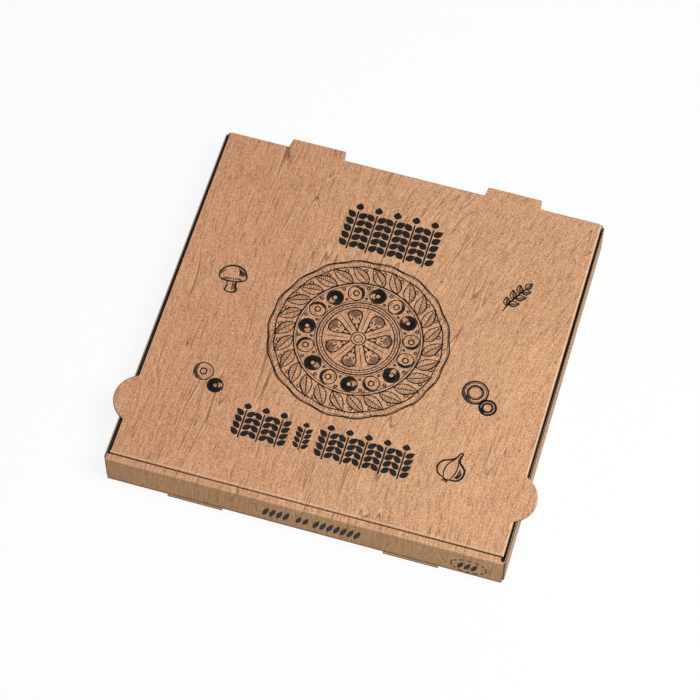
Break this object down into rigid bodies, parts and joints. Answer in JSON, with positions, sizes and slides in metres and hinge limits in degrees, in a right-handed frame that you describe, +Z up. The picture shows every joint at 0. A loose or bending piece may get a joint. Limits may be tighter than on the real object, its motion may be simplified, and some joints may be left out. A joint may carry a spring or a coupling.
{
  "type": "pizza box",
  "caption": "Flat corrugated pizza box with a hinged tuck-in lid, rolled front wall, round side ears and rear tabs.",
  "frame": {"origin": "middle of the underside, between the front and rear walls and between the side walls", "axes": "+X to the right seen from the front, +Y from the front wall to the rear crease of the lid, +Z up"},
  "size_m": [0.3544, 0.3417, 0.034],
  "materials": {
    "tray_board": "matte printed kraft",
    "lid_board": "matte printed kraft"
  },
  "bodies": {
    "tray": {"tray": "tray_board"},
    "lid": {"lid": "lid_board"}
  },
  "joints": [
    {"name": "lid_hinge", "type": "hinge", "parent": "tray", "child": "lid", "pos_m": [0, 0.1652, 0.0332], "axis": [-1, 0, 0], "range_deg": [0, 180]}
  ]
}
